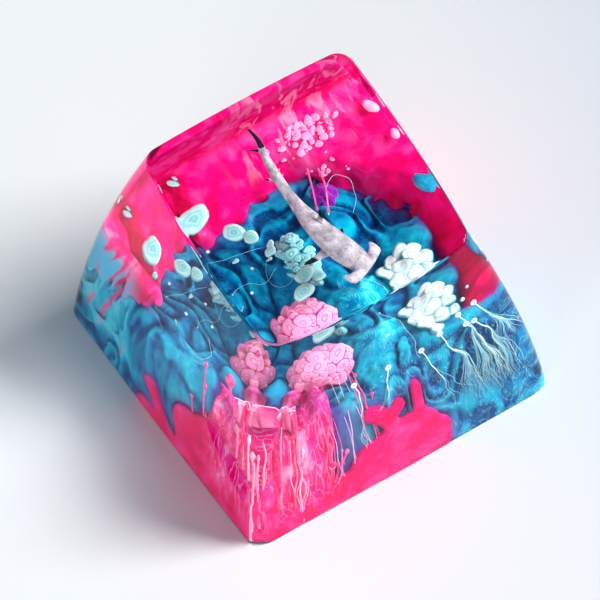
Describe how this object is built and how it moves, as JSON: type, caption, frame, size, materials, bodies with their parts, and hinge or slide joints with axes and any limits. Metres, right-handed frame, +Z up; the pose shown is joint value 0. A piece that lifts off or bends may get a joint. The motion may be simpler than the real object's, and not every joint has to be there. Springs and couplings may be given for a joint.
{
  "type": "artisan keycap",
  "caption": "Tall clear resin keycap with a tilted, dished top, a hammerhead shark figure and magenta, teal and white ink blooms cast inside, and a cross-socket stem below.",
  "frame": {"origin": "middle of the base plane, on the surface that the keycap stands on", "axes": "+Z up out of the dished top; -Y is the front of the key, where the top is lowest; +X is to the right as the key is typed on"},
  "size_m": [0.0184, 0.0184, 0.0155],
  "materials": {
    "clear_resin": "clear, polished",
    "shark_paint": "painted, mottled grey",
    "teal_ink": "ink in resin",
    "magenta_ink": "ink in resin",
    "pale_ink": "ink in resin"
  },
  "bodies": {
    "root": {"resin_body": "clear_resin", "shark_figure": "shark_paint", "teal_ink": "teal_ink", "magenta_ink": "magenta_ink", "pale_ink": "pale_ink"}
  },
  "joints": []
}
